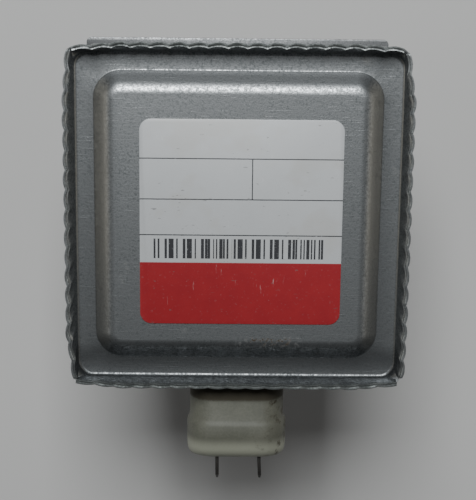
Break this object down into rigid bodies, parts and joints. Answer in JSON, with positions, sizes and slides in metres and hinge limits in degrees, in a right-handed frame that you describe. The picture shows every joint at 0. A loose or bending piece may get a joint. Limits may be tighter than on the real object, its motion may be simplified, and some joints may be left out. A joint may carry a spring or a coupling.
{
  "type": "microwave oven magnetron",
  "caption": "Microwave oven magnetron: finned vacuum tube between ring magnets in a steel yoke, with a crimped filter box, side capacitor terminals and a capped antenna.",
  "frame": {"origin": "on the tube's axis, in the plane of the mounting plate's output face, which meets the waveguide", "axes": "-Z along the antenna into the waveguide, +Z towards the filter box's cover; -Y towards the capacitor's blade terminals; X across the mounting plate's long side"},
  "size_m": [0.095, 0.1224, 0.1177],
  "materials": {
    "zinc_steel": "zinc-coated sheet, satin with fine mottle",
    "aluminium": "mill finish",
    "bright_steel": "bright plated",
    "iron": "bare, satin",
    "copper": "bare copper, satin",
    "enamelled_copper": "enamelled copper wire, glossy",
    "tungsten": "dull refractory metal",
    "magnet_ferrite": "sintered ferrite, matt",
    "alumina": "unglazed alumina",
    "cream_plastic": "moulded, slightly soiled",
    "wire_mesh": "knitted wire",
    "label_stock": "printed, satin"
  },
  "bodies": {
    "root": {"mounting_plate": "zinc_steel", "yoke": "zinc_steel", "filter_box": "zinc_steel", "filter_cover": "zinc_steel", "ground_plate": "zinc_steel", "cooling_fin_1": "aluminium", "cooling_fin_2": "aluminium", "cooling_fin_3": "aluminium", "cooling_fin_4": "aluminium", "cooling_fin_5": "aluminium", "cooling_fin_6": "aluminium", "output_seal": "bright_steel", "input_seal": "bright_steel", "antenna_cap": "bright_steel", "stem_terminal_left": "bright_steel", "stem_terminal_right": "bright_steel", "terminal_left": "bright_steel", "terminal_right": "bright_steel", "box_rivet_1": "bright_steel", "box_rivet_2": "bright_steel", "box_rivet_3": "bright_steel", "box_rivet_4": "bright_steel", "ground_rivet_left": "bright_steel", "ground_rivet_right": "bright_steel", "output_pole_piece": "iron", "input_pole_piece": "iron", "anode_cylinder": "copper", "anode_vane_01": "copper", "anode_vane_02": "copper", "anode_vane_03": "copper", "anode_vane_04": "copper", "anode_vane_05": "copper", "anode_vane_06": "copper", "anode_vane_07": "copper", "anode_vane_08": "copper", "anode_vane_09": "copper", "anode_vane_10": "copper", "output_small_strap": "copper", "output_large_strap": "copper", "input_small_strap": "copper", "input_large_strap": "copper", "antenna_lead": "copper", "exhaust_tube": "copper", "choke_coil_left": "enamelled_copper", "choke_coil_right": "enamelled_copper", "filament": "tungsten", "output_end_hat": "tungsten", "input_end_hat": "tungsten", "centre_lead": "tungsten", "side_lead": "tungsten", "output_magnet": "magnet_ferrite", "input_magnet": "magnet_ferrite", "choke_core_left": "magnet_ferrite", "choke_core_right": "magnet_ferrite", "antenna_ceramic": "alumina", "stem_ceramic": "alumina", "capacitor_case": "cream_plastic", "rf_gasket": "wire_mesh", "label": "label_stock"}
  },
  "joints": []
}
